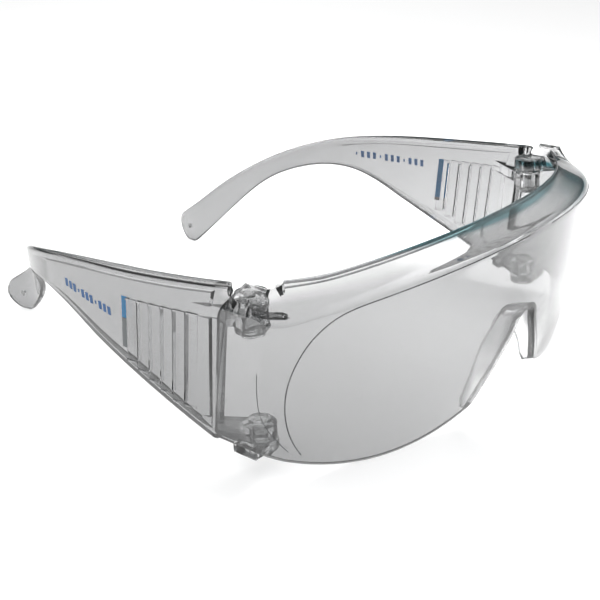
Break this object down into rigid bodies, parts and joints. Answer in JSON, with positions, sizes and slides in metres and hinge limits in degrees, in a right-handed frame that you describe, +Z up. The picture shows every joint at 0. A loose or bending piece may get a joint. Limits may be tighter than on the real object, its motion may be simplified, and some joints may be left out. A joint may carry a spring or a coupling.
{
  "type": "safety glasses",
  "caption": "Clear over-spectacle safety glasses: wraparound visor with brow guard and nose rest, on folding side arms with louvred vents.",
  "frame": {"origin": "middle of the footprint, on the surface the glasses rest on", "axes": "+X across the face to the wearer's left; +Y from the visor back along the arms; +Z up"},
  "size_m": [0.152, 0.1942, 0.0604],
  "materials": {
    "clear_visor": "clear, glossy",
    "clear_arm": "clear, glossy",
    "hinge_pin": "clear, glossy"
  },
  "bodies": {
    "front": {"front_lens": "clear_visor", "hinge_pin_upper_right": "hinge_pin", "hinge_pin_upper_left": "hinge_pin", "hinge_pin_lower_right": "hinge_pin", "hinge_pin_lower_left": "hinge_pin"},
    "right_arm": {"arm_right": "clear_arm"},
    "left_arm": {"arm_left": "clear_arm"}
  },
  "joints": [
    {"name": "left_arm_fold", "type": "hinge", "parent": "front", "child": "left_arm", "pos_m": [0.068, -0.0526, 0.03], "axis": [0, 0, 1], "range_deg": [0, 45]},
    {"name": "right_arm_fold", "type": "hinge", "parent": "front", "child": "right_arm", "pos_m": [-0.068, -0.0526, 0.03], "axis": [0, 0, -1], "range_deg": [0, 30]}
  ]
}
